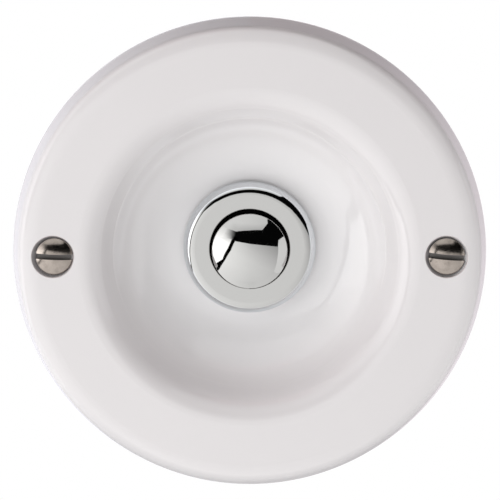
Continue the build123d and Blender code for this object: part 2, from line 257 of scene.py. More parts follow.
class SpringShape(PropertyGroup):
    """The return spring under the button."""

    wire: length("Wire", "Diameter of the wire", 0.6 * MILLIMETRE)
    turns: FloatProperty(name="Turns", description="Number of turns", default=5.5, min=2.0)
    closed: share("Closed ends", "Share of the wire in each closed end coil", 0.17)
    travel: length("Travel", "How far the button is pressed", 2.0 * MILLIMETRE)


class StudioLook(PropertyGroup):
    """Camera, floor and light cards."""

    elevation: angle("Elevation", "Height of the camera above the button's axis", 9.5)
    distance: length("Distance", "Distance from the camera to the rim", 3.0)
    field: length("Field", "Width of the picture at the rim", 80.36 * MILLIMETRE)
    floor_drop: length("Floor drop", "Depth of the floor below the axis", 0.62)
    card_distance: length("Card distance", "Distance of the light cards from the button", 0.6)
    flag_distance: length("Flag distance", "Distance of the black flag from the button", 0.68)
    softbox: light("Softbox", "Light of the softbox on the left", (1.0, 1.0, 1.0))
    softbox_wing: light("Softbox wing", "Light of the softbox's outer side", (0.90, 0.90, 0.90))
    far_softbox: light("Far softbox", "Light of the softbox's far edge", (0.59, 0.665, 0.735))
    soft_edge: light("Soft edge", "Light of the softbox's fading edge", (1.32, 1.32, 1.32))
    top_panel: light("Top panel", "Light of the panel above the camera", (1.24, 1.24, 1.24))
    ceiling: light("Ceiling", "Light of the ceiling above the panel", (1.05, 0.72, 0.76))
    sweep: light("Sweep", "Light of the paper sweep in front and below", (1.43, 1.43, 1.43))
    strip: light("Right strip", "Light of the reflector on the right", (1.20, 1.20, 1.20))
    behind_left: light("Behind left", "Light of the paper behind on the left", (0.94, 0.93, 1.00))
    behind_right: light("Behind right", "Light of the paper behind on the right", (0.86, 0.79, 0.84))
    floor: light("Floor", "Light of the pale floor", (0.35, 0.35, 0.35))
    room: light("Room", "Light of the dark room all round", (0.003, 0.003, 0.003))


def new_finish(name):
    """A new material with its node tree and its shader."""
    material = bpy.data.materials.new(name)
    material.use_nodes = True
    tree = material.node_tree
    return material, tree, tree.nodes["Principled BSDF"]


def opaque(rgb):
    """The colour with full alpha, as colour sockets take it."""
    return (*rgb, 1.0)


def place_on_piece(tree):
    """Where a point is, in the frame."""
    return tree.nodes.new("ShaderNodeTexCoord").outputs["Object"]


def cloud(tree, width, detail=2.0):
    """Soft random values from 0 to 1, in patches about this wide."""
    texture = tree.nodes.new("ShaderNodeTexNoise")
    texture.inputs["Scale"].default_value = 1 / width
    texture.inputs["Detail"].default_value = detail
    tree.links.new(place_on_piece(tree), texture.inputs["Vector"])
    return texture.outputs["Fac"]


def rings(tree, radius, width):
    """Soft random values from 0 to 1 that change only with the radius, in rings about this wide."""
    texture = tree.nodes.new("ShaderNodeTexNoise")
    texture.noise_dimensions = "1D"
    texture.inputs["Scale"].default_value = 1 / width
    texture.inputs["Detail"].default_value = 1.0
    tree.links.new(radius, texture.inputs["W"])
    return texture.outputs["Fac"]


def ramp(tree, value, low, high, to_low=0.0, to_high=1.0, curve="LINEAR"):
    """The value moved from one range to another and held at its ends."""
    mapping = tree.nodes.new("ShaderNodeMapRange")
    mapping.interpolation_type = curve
    for socket, number in zip(("From Min", "From Max", "To Min", "To Max"), (low, high, to_low, to_high)):
        mapping.inputs[socket].default_value = number
    tree.links.new(value, mapping.inputs["Value"])
    return mapping.outputs["Result"]


def fade_out(tree, value, start, end, curve="LINEAR"):
    """1 up to the start, falling to 0 at the end."""
    return ramp(tree, value, start, end, 1.0, 0.0, curve)


def calculate(tree, operation, first, second=None):
    """One step of arithmetic on sockets or numbers."""
    step = tree.nodes.new("ShaderNodeMath")
    step.operation = operation
    for socket, value in zip(step.inputs, (first, second)):
        if isinstance(value, (int, float)):
            socket.default_value = value
        elif value is not None:
            tree.links.new(value, socket)
    return step.outputs["Value"]


def product(tree, first, *others):
    """The values multiplied together."""
    for other in others:
        first = calculate(tree, "MULTIPLY", first, other)
    return first


def total(tree, first, *others):
    """The values added together."""
    for other in others:
        first = calculate(tree, "ADD", first, other)
    return first


def apart(tree, first, second):
    """How far apart two values are."""
    return calculate(tree, "ABSOLUTE", calculate(tree, "SUBTRACT", first, second))


def hypotenuse(tree, first, second):
    """The length of a line with these two parts at a right angle."""
    squares = [calculate(tree, "POWER", part, 2) for part in (first, second)]
    return calculate(tree, "SQRT", total(tree, *squares))


def blend_colours(tree, factor, first, second):
    """A mix of two colours, each a colour or a socket."""
    mix = tree.nodes.new("ShaderNodeMix")
    mix.data_type = "RGBA"
    tree.links.new(factor, mix.inputs["Factor"])
    for socket, value in ((mix.inputs[MIX_FIRST], first), (mix.inputs[MIX_SECOND], second)):
        if isinstance(value, bpy.types.NodeSocket):
            tree.links.new(value, socket)
        else:
            socket.default_value = opaque(value)
    return mix.outputs[MIX_RESULT]


def relief(tree, shader, height, depth=1.0):
    """Raises the surface by the height times this depth."""
    bump = tree.nodes.new("ShaderNodeBump")
    bump.inputs["Distance"].default_value = depth
    tree.links.new(height, bump.inputs["Height"])
    tree.links.new(bump.outputs["Normal"], shader.inputs["Normal"])


def axis_parts(tree):
    """The X, Y and Z of a point in the frame."""
    split = tree.nodes.new("ShaderNodeSeparateXYZ")
    tree.links.new(place_on_piece(tree), split.inputs["Vector"])
    return split.outputs["X"], split.outputs["Y"], split.outputs["Z"]


def worn_metal(name, bright, dull, smooth, rough, patch, grain, grain_depth):
    """A metal with dull patches and a fine grain."""
    dull_from = 0.45
    dull_full = 0.75
    material, tree, shader = new_finish(name)
    shader.inputs["Metallic"].default_value = 1.0
    patches = ramp(tree, cloud(tree, patch, detail=4.0), dull_from, dull_full)
    tree.links.new(blend_colours(tree, patches, bright, dull), shader.inputs["Base Color"])
    fine = cloud(tree, grain, detail=3.0)
    tree.links.new(ramp(tree, fine, CLOUD_LOW, CLOUD_HIGH, smooth, rough), shader.inputs["Roughness"])
    relief(tree, shader, fine, grain_depth)
    return material


def moulded(name, rgb, smooth, rough, grain, grain_depth, lighter):
    """A moulded or pressed insulator with a fine grain and slightly uneven colour."""
    pale_from = 0.35
    material, tree, shader = new_finish(name)
    fine = cloud(tree, grain, detail=4.0)
    pale = [min(1.0, part * lighter) for part in rgb]
    specks = ramp(tree, fine, pale_from, CLOUD_HIGH)
    tree.links.new(blend_colours(tree, specks, rgb, pale), shader.inputs["Base Color"])
    tree.links.new(ramp(tree, fine, CLOUD_LOW, CLOUD_HIGH, smooth, rough), shader.inputs["Roughness"])
    relief(tree, shader, fine, grain_depth)
    return material


def dress(material, *names):
    """Gives CAD nodes this material."""
    for name in names:
        mesh = nodes[name].data
        mesh.materials.clear()
        mesh.materials.append(material)


def recess_shade(tree, look, x, y, reach):
    """How much painted shade darkens the screw recesses. On the right one's right side, painted light takes
    most of it away.
    """
    shade_from = face_y + 0.1 * MILLIMETRE
    shade_full = face_y + 0.35 * MILLIMETRE
    shade_fades = face_y + 6 * MILLIMETRE
    shade_ends = face_y + 7 * MILLIMETRE
    lit_from = look.recess_place + 0.8 * MILLIMETRE
    lit_full = look.recess_place + 2 * MILLIMETRE
    shade_remaining = 0.1
    # Painted shade inside each recess, below the face and near it.
    inside = fade_out(tree, reach, look.recess_radius - look.thin_width, look.recess_radius)
    sunk = ramp(tree, y, shade_from, shade_full)
    near_face = fade_out(tree, y, shade_fades, shade_ends)
    # Painted light: the right recess's right side, which faces the light, keeps only a little of the
    # painted shade.
    shade_kept = ramp(tree, x, lit_from, lit_full, 1.0, shade_remaining)
    return product(tree, inside, sunk, near_face, shade_kept)


def glaze_colour(tree, look, z, radius):
    """The glaze's colour, with painted light on the dish's floor and painted shade on the dish's wall and
    lower rim.
    """
    tone_width = 30 * MILLIMETRE
    paler_by = 1.012
    wall_core = 1 * MILLIMETRE
    wall_reach = 3.2 * MILLIMETRE
    rim_spread = 1.2 * MILLIMETRE
    bottom_from = -20 * MILLIMETRE
    bottom_full = -32 * MILLIMETRE
    tone = ramp(tree, cloud(tree, tone_width), CLOUD_LOW, CLOUD_HIGH)
    paler = [min(1.0, part * paler_by) for part in look.glaze]
    even = blend_colours(tree, tone, look.glaze, paler)
    # Painted light lifts the dish's floor.
    dish_lift = fade_out(tree, radius, look.dish_light_inner, look.dish_light_outer, "SMOOTHSTEP")
    lifted = blend_colours(tree, dish_lift, even, look.dish_light)
    # Painted shade round the middle of the dish's wall.
    on_wall = fade_out(tree, apart(tree, radius, look.wall_middle), wall_core, wall_reach)
    wall_shaded = blend_colours(tree, on_wall, lifted, look.wall_shade)
    # Painted shade on the lower rim, which faces down.
    at_rim = ramp(tree, radius, look.rim_start, look.rim_start + rim_spread)
    at_bottom = ramp(tree, z, bottom_from, bottom_full)
    return blend_colours(tree, product(tree, at_rim, at_bottom), wall_shaded, look.rim_shade)


def glaze_height(tree, look, z, radius):
    """Height of the glaze's waves, of the dish's turned rings and ridges, and of its wall's eased bend."""
    rings_end = look.ridge_radius + 4 * MILLIMETRE
    ridge_lowest = -8 * MILLIMETRE
    ridge_full = 2 * MILLIMETRE
    ridge_remaining = 0.12
    waves = product(tree, cloud(tree, look.ripple_width, detail=1.0), look.ripple)
    in_dish = ramp(tree, radius, look.ridge_radius, rings_end, look.throwing, 0.0)
    marks = product(tree, rings(tree, radius, look.throwing_width), in_dish)
    eased = ramp(tree, radius, look.easing_inner, look.easing_outer, look.easing, 0.0, "SMOOTHSTEP")
    height = total(tree, waves, marks, eased)
    fading = ramp(tree, z, ridge_lowest, ridge_full, ridge_remaining, 1.0)
    for place, top in ((look.ridge_radius, look.ridge), (look.outer_radius, look.outer_ridge)):
        gentle = ramp(tree, radius, place - look.ridge_rise, place, 0.0, top, "SMOOTHSTEP")
        steep = fade_out(tree, radius, place, place + look.ridge_fall, "SMOOTHSTEP")
        height = total(tree, height, product(tree, gentle, steep, fading))
    return height


def glazed_ceramic(look):
    """White glaze, thin and brown round the screw recesses, with painted shade and a duller finish inside
    them, and a bare foot.
    """
    material, tree, shader = new_finish("white_glaze")
    x, y, z = axis_parts(tree)
    radius = hypotenuse(tree, x, z)
    foot = ramp(tree, y, -look.foot_depth, -look.foot_depth / 2)
    aside = calculate(tree, "SUBTRACT", calculate(tree, "ABSOLUTE", x), look.recess_place)
    reach = hypotenuse(tree, aside, z)
    from_edge = apart(tree, reach, look.recess_radius)
    thin_line = ramp(tree, from_edge, 0.0, look.thin_width, look.thin_strength, 0.0)
    shade = recess_shade(tree, look, x, y, reach)

    glaze = glaze_colour(tree, look, z, radius)
    edged = blend_colours(tree, thin_line, glaze, look.thin_glaze)
    # Painted shade in the screw recesses.
    sunken = blend_colours(tree, shade, edged, look.recess)
    tree.links.new(blend_colours(tree, foot, sunken, look.bisque), shader.inputs["Base Color"])
    dull = calculate(tree, "MAXIMUM", foot, shade)
    roughness = ramp(tree, dull, 0.0, 1.0, look.gloss, look.dull_roughness)
    tree.links.new(roughness, shader.inputs["Roughness"])
    relief(tree, shader, glaze_height(tree, look, z, radius))
    return material


def chrome_plate(look):
    """Bright plate with the faintest haze, with painted shade that makes it dark and rougher inside the
    bezel's mouth.

    The bezel's rounded edge is painted lighter, and the polish flattens the button's lower rim a little.
    """
    mouth_shade_full = mouth_radius + 0.02 * MILLIMETRE
    mouth_shade_end = mouth_radius + 0.10 * MILLIMETRE
    plate_fades = bezel_top_y + 0.1 * MILLIMETRE
    plate_ends = bezel_top_y + 0.4 * MILLIMETRE
    edge_spread = 0.3 * MILLIMETRE
    haze_width = 0.4 * MILLIMETRE
    rim_end = mouth_radius - 0.3 * MILLIMETRE
    rim_spread = 0.05 * MILLIMETRE
    low_from = -2.2 * MILLIMETRE
    low_full = -4.2 * MILLIMETRE
    bend = look.flat_bend / 2 / MILLIMETRE

    material, tree, shader = new_finish("chrome_plate")
    shader.inputs["Metallic"].default_value = 1.0
    x, y, z = axis_parts(tree)
    from_axis = hypotenuse(tree, x, z)
    # Painted shade: the mouth's inside, below the bezel's top, is dark for the shade in the gap round the
    # button, and rougher.
    in_mouth = fade_out(tree, from_axis, mouth_shade_full, mouth_shade_end)
    below_top = ramp(tree, y, plate_fades, plate_ends)
    bare = product(tree, in_mouth, below_top)
    # Painted light: the bezel's rounded edge is a lighter copy of the chrome.
    lit_edge = ramp(tree, from_axis, look.lit_edge_from, look.lit_edge_from + edge_spread)
    plate = blend_colours(tree, lit_edge, look.chrome, look.lit_edge_chrome)
    tree.links.new(blend_colours(tree, bare, plate, look.bare), shader.inputs["Base Color"])
    fine = cloud(tree, haze_width, detail=4.0)
    haze = ramp(tree, fine, CLOUD_LOW, CLOUD_HIGH, look.chrome_roughness, 2 * look.chrome_roughness)
    roughness = total(tree, haze, product(tree, bare, look.mouth_roughness))
    tree.links.new(roughness, shader.inputs["Roughness"])

    outward = ramp(tree, from_axis, look.flat_start, rim_end, 0.0, rim_end - look.flat_start)
    low = ramp(tree, z, low_from, low_full, 0.0, bend, "SMOOTHSTEP")
    on_button = fade_out(tree, from_axis, rim_end, rim_end + rim_spread)
    polish = product(tree, calculate(tree, "POWER", outward, 2), on_button, low)
    relief(tree, shader, polish)
    return material


def screw_plate(look):
    """Nickel with dull patches and a fine grain, darker and rougher at the bottom of the slots and in the
    head behind them, with grime and painted shade.
    """
    slot_floor = screw_low.y + screw_slot_depth
    dirt_shade_from = slot_floor - 0.55 * MILLIMETRE
    dirt_shade_full = slot_floor - 0.2 * MILLIMETRE
    dirt_shade_fades = slot_floor + 0.6 * MILLIMETRE
    dirt_shade_ends = slot_floor + 1.2 * MILLIMETRE
    material = worn_metal(
        "nickel_plate",
        look.nickel,
        look.nickel_dark,
        smooth=0.10,
        rough=0.22,
        patch=1.2 * MILLIMETRE,
        grain=0.18 * MILLIMETRE,
        grain_depth=0.003 * MILLIMETRE,
    )
    tree = material.node_tree
    shader = tree.nodes["Principled BSDF"]
    plate = shader.inputs["Base Color"].links[0].from_socket
    finish = shader.inputs["Roughness"].links[0].from_socket
    y = axis_parts(tree)[1]
    # Grime and painted shade at the bottom of the slots and in the head behind them.
    sunk = ramp(tree, y, dirt_shade_from, dirt_shade_full)
    near_face = fade_out(tree, y, dirt_shade_fades, dirt_shade_ends)
    dirt_and_shade = product(tree, sunk, near_face)
    tree.links.new(blend_colours(tree, dirt_and_shade, plate, look.slot), shader.inputs["Base Color"])
    roughness = total(tree, finish, product(tree, dirt_and_shade, look.slot_roughness))
    tree.links.new(roughness, shader.inputs["Roughness"])
    return material


def new_node_group(name, labels):
    """A geometry node tree with these numbers as inputs, and its input and output nodes."""
    tree = bpy.data.node_groups.new(name, "GeometryNodeTree")
    for label in labels:
        tree.interface.new_socket(label, in_out="INPUT", socket_type="NodeSocketFloat")
    tree.interface.new_socket("Geometry", in_out="OUTPUT", socket_type="NodeSocketGeometry")
    return tree, tree.nodes.new("NodeGroupInput"), tree.nodes.new("NodeGroupOutput")


def join(tree, source, target, socket_in, socket_out=0):
    """Links one node's output to another node's input."""
    tree.links.new(source.outputs[socket_out], target.inputs[socket_in])


def end_tree(tree, shape, material, result):
    """Ends a tree with real faces of this material."""
    real = tree.nodes.new("GeometryNodeRealizeInstances")
    join(tree, shape, real, "Geometry")
    finish = tree.nodes.new("GeometryNodeSetMaterial")
    finish.inputs["Material"].default_value = material
    join(tree, real, finish, "Geometry")
    join(tree, finish, result, "Geometry")


def made_by_nodes(name, tree, values):
    """A plain mesh object made once by a geometry node tree with these input values."""
    piece = bpy.data.objects.new(name, bpy.data.meshes.new(name))
    bpy.context.scene.collection.objects.link(piece)
    modifier = piece.modifiers.new("shape", "NODES")
    modifier.node_group = tree
    for item in tree.interface.items_tree:
        if item.in_out == "INPUT" and item.name in values:
            modifier[item.identifier] = values[item.name]
    graph = bpy.context.evaluated_depsgraph_get()
    mesh = bpy.data.meshes.new_from_object(piece.evaluated_get(graph))
    piece.modifiers.remove(modifier)
    piece.data = mesh
    mesh.name = name
    return piece


class BELLPUSH_OT_ceramic(Operator):
    """Glaze the rose"""

    bl_idname = "bell_push.ceramic"
    bl_label = "Glaze the Rose"

    def execute(self, context):
        dress(glazed_ceramic(context.scene.bell_push_ceramic), "rose")
        return {"FINISHED"}


class BELLPUSH_OT_chrome(Operator):
    """Plate the bezel and the button"""

    bl_idname = "bell_push.chrome"
    bl_label = "Plate the Bezel and Button"

    def execute(self, context):
        dress(chrome_plate(context.scene.bell_push_metal), "bezel", "push_button")
        return {"FINISHED"}


class BELLPUSH_OT_contacts(Operator):
    """Finish the contacts, terminals and lock nut in brass"""

    bl_idname = "bell_push.contacts"
    bl_label = "Finish the Contacts"

    def execute(self, context):
        look = context.scene.bell_push_metal
        brass = worn_metal(
            "brass",
            look.brass,
            look.brass_dark,
            smooth=0.22,
            rough=0.42,
            patch=3.0 * MILLIMETRE,
            grain=0.15 * MILLIMETRE,
            grain_depth=0.002 * MILLIMETRE,
        )
        dress(
            brass,
            "lock_nut",
            "left_contact",
            "right_contact",
            "terminal_inserts",
            "terminal_washers",
            "terminal_screws",
            "contact_bridge",
        )
        return {"FINISHED"}


class BELLPUSH_OT_insulators(Operator):
    """Finish the block, washers and plunger"""

    bl_idname = "bell_push.insulators"
    bl_label = "Finish the Insulators"

    def execute(self, context):
        look = context.scene.bell_push_moulding
        grain = 0.12 * MILLIMETRE
        for node, slot, rgb, smooth, rough, grain_depth, lighter in (
            ("contact_block", "black_phenolic", look.block, 0.24, 0.40, 0.003, 1.60),
            ("clamp_washer", "red_fibre", look.fibre, 0.60, 0.85, 0.012, 1.30),
            ("bezel_gasket", "soft_washer", look.soft_washer, 0.60, 0.80, 0.004, 1.20),
            ("plunger", "nylon", look.nylon, 0.35, 0.50, 0.002, 1.04),
        ):
            finish = moulded(slot, rgb, smooth, rough, grain, grain_depth * MILLIMETRE, lighter)
            dress(finish, node)
        return {"FINISHED"}


def thread_tree(material):
    """Two screw threads: a helix along each core and a shrinking helix round each point."""
    tree, given, result = new_node_group(
        "screw_thread",
        (
            "Core",
            "Crest",
            "Straight",
            "Straight Turns",
            "Point",
            "Point Turns",
            "Start",
            "Left",
            "Right",
        ),
    )
    straight = tree.nodes.new("GeometryNodeCurveSpiral")
    taper = tree.nodes.new("GeometryNodeCurveSpiral")
    for spiral, turns, height in (
        (straight, "Straight Turns", "Straight"),
        (taper, "Point Turns", "Point"),
    ):
        spiral.inputs["Resolution"].default_value = THREAD_STEPS
        join(tree, given, spiral, "Rotations", turns)
        join(tree, given, spiral, "Start Radius", "Core")
        join(tree, given, spiral, "Height", height)
    join(tree, given, straight, "End Radius", "Core")
    taper.inputs["End Radius"].default_value = 0.0

    along = tree.nodes.new("GeometryNodeSplineParameter")
    shrink = tree.nodes.new("ShaderNodeMapRange")
    shrink.inputs["To Min"].default_value = 1.0
    shrink.inputs["To Max"].default_value = TIP_CREST
    join(tree, along, shrink, "Value", "Factor")
    thinner = tree.nodes.new("GeometryNodeSetCurveRadius")
    join(tree, taper, thinner, "Curve")
    join(tree, shrink, thinner, "Radius")

    past_core = tree.nodes.new("ShaderNodeCombineXYZ")
    join(tree, given, past_core, "Z", "Straight")
    moved = tree.nodes.new("GeometryNodeTransform")
    join(tree, thinner, moved, "Geometry")
    join(tree, past_core, moved, "Translation")

    helix = tree.nodes.new("GeometryNodeJoinGeometry")
    join(tree, moved, helix, "Geometry")
    join(tree, straight, helix, "Geometry")
    upright = tree.nodes.new("GeometryNodeSetCurveNormal")
    upright.mode = "Z_UP"
    join(tree, helix, upright, "Curve")

    profile = tree.nodes.new("GeometryNodeCurvePrimitiveCircle")
    profile.inputs["Resolution"].default_value = THREAD_SIDES
    join(tree, given, profile, "Radius", "Crest")
    ridge = tree.nodes.new("GeometryNodeCurveToMesh")
    ridge.inputs["Fill Caps"].default_value = True
    join(tree, upright, ridge, "Curve")
    join(tree, profile, ridge, "Profile Curve")

    into_wall = tree.nodes.new("GeometryNodeTransform")
    into_wall.inputs["Rotation"].default_value = INTO_WALL
    join(tree, ridge, into_wall, "Geometry")
    both = tree.nodes.new("GeometryNodeJoinGeometry")
    for side in ("Left", "Right"):
        where = tree.nodes.new("ShaderNodeCombineXYZ")
        join(tree, given, where, "X", side)
        join(tree, given, where, "Y", "Start")
        point = tree.nodes.new("GeometryNodePoints")
        join(tree, where, point, "Position")
        join(tree, point, both, "Geometry")
    copies = tree.nodes.new("GeometryNodeInstanceOnPoints")
    join(tree, both, copies, "Points")
    join(tree, into_wall, copies, "Instance")
    end_tree(tree, copies, material, result)
    return tree


class BELLPUSH_OT_fixing_screws(Operator):
    """Plate the fixing screws and cut their threads"""

    bl_idname = "bell_push.fixing_screws"
    bl_label = "Finish the Fixing Screws"

    def execute(self, context):
        look = context.scene.bell_push_metal
        shape = context.scene.bell_push_thread
        nickel = screw_plate(look)
        dress(nickel, "fixing_screws")
        straight = screw_point_y - shape.point - shape.start
        turns = round(straight / shape.pitch)
        threads = made_by_nodes(
            "fixing_screw_threads",
            thread_tree(nickel),
            {
                "Core": shape.core,
                "Crest": shape.crest,
                "Straight": straight,
                "Straight Turns": turns,
                "Point": shape.point * POINT_THREADED,
                "Point Turns": shape.point / shape.pitch,
                "Start": shape.start,
                "Left": left_screw_x,
                "Right": right_screw_x,
            },
        )
        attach(threads, FIXED_BODY)
        return {"FINISHED"}


def spring_tree(material):
    """A coil spring along Y, with closed coils at both ends."""
    tree, given, result = new_node_group(
        "coil_spring", ("Radius", "Wire Radius", "Turns", "Closed", "Front", "Back")
    )
    coil = tree.nodes.new("GeometryNodeCurveSpiral")
    coil.inputs["Resolution"].default_value = COIL_STEPS
    coil.inputs["Height"].default_value = 0.0
    join(tree, given, coil, "Rotations", "Turns")
    join(tree, given, coil, "Start Radius", "Radius")
    join(tree, given, coil, "End Radius", "Radius")
    upright = tree.nodes.new("GeometryNodeTransform")
    upright.inputs["Rotation"].default_value = INTO_WALL
    join(tree, coil, upright, "Geometry")

    along = tree.nodes.new("GeometryNodeSplineParameter")
    last_closed = tree.nodes.new("ShaderNodeMath")
    last_closed.operation = "SUBTRACT"
    last_closed.inputs[0].default_value = 1.0
    join(tree, given, last_closed, 1, "Closed")
    climb = tree.nodes.new("ShaderNodeMapRange")
    climb.interpolation_type = "SMOOTHSTEP"
    join(tree, along, climb, "Value", "Factor")
    join(tree, given, climb, "From Min", "Closed")
    join(tree, last_closed, climb, "From Max")
    join(tree, given, climb, "To Min", "Back")
    join(tree, given, climb, "To Max", "Front")
    offset = tree.nodes.new("ShaderNodeCombineXYZ")
    join(tree, climb, offset, "Y")
    raised = tree.nodes.new("GeometryNodeSetPosition")
    join(tree, upright, raised, "Geometry")
    join(tree, offset, raised, "Offset")

    wire = tree.nodes.new("GeometryNodeCurvePrimitiveCircle")
    wire.inputs["Resolution"].default_value = WIRE_SIDES
    join(tree, given, wire, "Radius", "Wire Radius")
    tube = tree.nodes.new("GeometryNodeCurveToMesh")
    tube.inputs["Fill Caps"].default_value = True
    join(tree, raised, tube, "Curve")
    join(tree, wire, tube, "Profile Curve")
    smooth = tree.nodes.new("GeometryNodeSetShadeSmooth")
    join(tree, tube, smooth, "Geometry")
    end_tree(tree, smooth, material, result)
    return tree


class BELLPUSH_OT_spring(Operator):
    """Wind the return spring"""

    bl_idname = "bell_push.spring"
    bl_label = "Wind the Return Spring"

    def execute(self, context):
        look = context.scene.bell_push_metal
        shape = context.scene.bell_push_spring
        dulled = 0.7
        steel = worn_metal(
            "spring_steel",
            look.steel,
            [part * dulled for part in look.steel],
            smooth=0.15,
            rough=0.3,
            patch=1.0 * MILLIMETRE,
            grain=0.1 * MILLIMETRE,
            grain_depth=0.001 * MILLIMETRE,
        )
        front, back = spring_low.y, spring_high.y
        wire_radius = shape.wire / 2
        spring = made_by_nodes(
            "wound_return_spring",
            spring_tree(steel),
            {
                "Radius": spring_high.x - wire_radius,
                "Wire Radius": wire_radius,
                "Turns": shape.turns,
                "Closed": shape.closed,
                "Front": front + wire_radius,
                "Back": back - wire_radius,
            },
        )
        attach(spring, FIXED_BODY)
        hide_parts("return_spring")
        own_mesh(spring)
        return {"FINISHED"}


def towards(azimuth, elevation):
    """The direction from the button, in degrees: 0, 0 straight out of the wall, then right and up."""
    turn, rise = radians(azimuth), radians(elevation)
    return Vector((sin(turn) * cos(rise), -cos(turn) * cos(rise), sin(rise)))


def shining(name):
    """A new material that only gives light, with its node tree and the light's colour socket."""
    material = bpy.data.materials.new(name)
    material.use_nodes = True
    tree = material.node_tree
    tree.nodes.clear()
    emission = tree.nodes.new("ShaderNodeEmission")
    output = tree.nodes.new("ShaderNodeOutputMaterial")
    tree.links.new(emission.outputs["Emission"], output.inputs["Surface"])
    return material, tree, emission.inputs["Color"]


def glow(name, rgb):
    """A card's light, by its points' levels."""
    material, tree, shine = shining(name)
    level = tree.nodes.new("ShaderNodeAttribute")
    level.attribute_name = LEVEL
    tint = tree.nodes.new("ShaderNodeMix")
    tint.data_type = "RGBA"
    tint.blend_type = "MULTIPLY"
    tint.inputs["Factor"].default_value = 1.0
    tint.inputs[MIX_SECOND].default_value = opaque(rgb)
    tree.links.new(level.outputs["Color"], tint.inputs[MIX_FIRST])
    tree.links.new(tint.outputs[MIX_RESULT], shine)
    return material


def light_card(name, rows, rgb, distance):
    """A bent card of light which the camera doesn't see.

    Each row lists points as azimuth and elevation in degrees, seen from the button, and a level.
    """
    points = [point for row in rows for point in row]
    columns = len(rows[0])
    corners = [towards(azimuth, elevation) * distance for azimuth, elevation, _ in points]
    faces = []
    for row in range(len(rows) - 1):
        for column in range(columns - 1):
            first = row * columns + column
            faces.append((first, first + columns, first + columns + 1, first + 1))
    mesh = bpy.data.meshes.new(name)
    mesh.from_pydata([tuple(corner) for corner in corners], [], faces)
    levels = mesh.attributes.new(LEVEL, "FLOAT_COLOR", "POINT")
    for item, (_, _, level) in zip(levels.data, points):
        item.color = opaque((level, level, level))
    mesh.materials.append(glow(name, rgb))
    card = bpy.data.objects.new(name, mesh)
    bpy.context.scene.collection.objects.link(card)
    card.visible_camera = False


# Light cards, placed where the chrome mirrors them
SOFTBOX = (
    ((-66, 16, 1.9), (-58, 16, 1.7), (-36, 16, 1.2)),
    ((-66, 7, 2.7), (-55, 7, 2.6), (-39, 7, 2.0)),
    ((-66, -2, 2.7), (-56, -2, 2.7), (-43, -2, 2.0)),
    ((-66, -12, 2.7), (-58, -12, 2.7), (-50, -12, 2.1)),
    ((-67, -21, 2.6), (-62, -21, 2.6), (-56, -21, 2.1)),
    ((-72, -27, 2.2), (-65, -24.5, 2.2), (-57, -21.5, 2.1)),
)
SOFTBOX_WING = (
    ((-88, 16, 0.5), (-76, 16, 1.6), (-66, 16, 1.9)),
    ((-88, 7, 1.3), (-76, 7, 2.5), (-66, 7, 2.7)),
    ((-88, -2, 1.3), (-76, -2, 2.5), (-66, -2, 2.7)),
    ((-88, -12, 1.3), (-76, -12, 2.5), (-66, -12, 2.7)),
    ((-88, -21, 1.2), (-77, -21, 2.4), (-67, -21, 2.6)),
    ((-92, -41, 0.9), (-82, -39, 2.2), (-72, -27, 2.2)),
)
FAR_SOFTBOX = (
    ((-104, 22, 0.6), (-88, 20, 1.0)),
    ((-104, -5, 0.6), (-88, -5, 1.0)),
    ((-104, -42, 0.6), (-92, -41, 1.0)),
)
SOFT_EDGE = (
    ((-84, 36, 0.9), (-54, 36, 0.9), (-44, 35, 0.45), (-36, 34, 0.12), (-30, 34, 0)),
    ((-84, 24, 1.15), (-56, 24, 1.15), (-46, 24, 0.65), (-38, 24, 0.25), (-30, 24, 0)),
    ((-84, 11, 1.4), (-58, 11, 1.6), (-47, 15, 1.1), (-40, 15, 0.7), (-33, 16, 0)),
)
TOP_PANEL = (
    ((-78, 56, 0.92), (-46, 60, 0.93), (-15, 71, 0.92), (30, 70, 0.86), (58, 56, 0.80)),
    ((-80, 46, 0.95), (-48, 47, 0.95), (-20, 48, 0.92), (14, 47, 0.86), (48, 44, 0.80)),
    ((-84, 33, 1.0), (-54, 33, 0.95), (-30, 31, 0.68), (-1, 35, 0.64), (29, 34, 0.60)),
)
CEILING = (
    ((-100, 86, 0.9), (-50, 86, 0.9), (0, 86, 0.9), (40, 86, 0.9), (80, 86, 0.9)),
    ((-78, 56, 0.92), (-46, 60, 0.93), (-15, 71, 0.92), (30, 70, 0.92), (58, 56, 0.9)),
)
SWEEP = (
    ((-29, 13, 0.90), (2, 9, 0.64), (57, 0, 0.36)),
    ((-36, -4, 1.00), (3, -7, 0.74), (57, -10, 0.44)),
    ((-50, -22, 1.04), (0, -22, 0.82), (58, -24, 0.55)),
    ((-74, -38, 0.99), (0, -41, 0.81), (62, -42, 0.66)),
    ((-96, -56, 0.82), (0, -64, 0.76), (75, -60, 0.68)),
    ((-120, -70, 0.62), (0, -77, 0.70), (110, -70, 0.56)),
)
STRIP = (
    ((59, 11, 0.86), (66, 13, 0.90), (104, 20, 0.86)),
    ((56, 0, 0.94), (66, 0, 0.94), (104, 0, 0.88)),
    ((54, -10, 0.96), (66, -10, 0.94), (104, -10, 0.88)),
    ((53, -25, 0.96), (66, -25, 0.94), (104, -26, 0.88)),
    ((54, -42, 0.94), (70, -44, 0.92), (104, -48, 0.86)),
    ((58, -54, 0.90), (76, -56, 0.88), (104, -60, 0.80)),
)
FLAG = (
    ((-56, 24, 0), (-24, 20, 0)),
    ((-62, -2, 0), (-32, -2, 0)),
    ((-70, -21, 0), (-44, -21, 0)),
    ((-92, -44, 0), (-58, -46, 0)),
)
BEHIND_AZIMUTHS = (0, 28, 56, 84)
BEHIND_LEVELS = ((35, 0.4), (5, 1), (-20, 1), (-40, 0.8))
BEHIND_LEFT_FROM = 180
BEHIND_RIGHT_FROM = 96


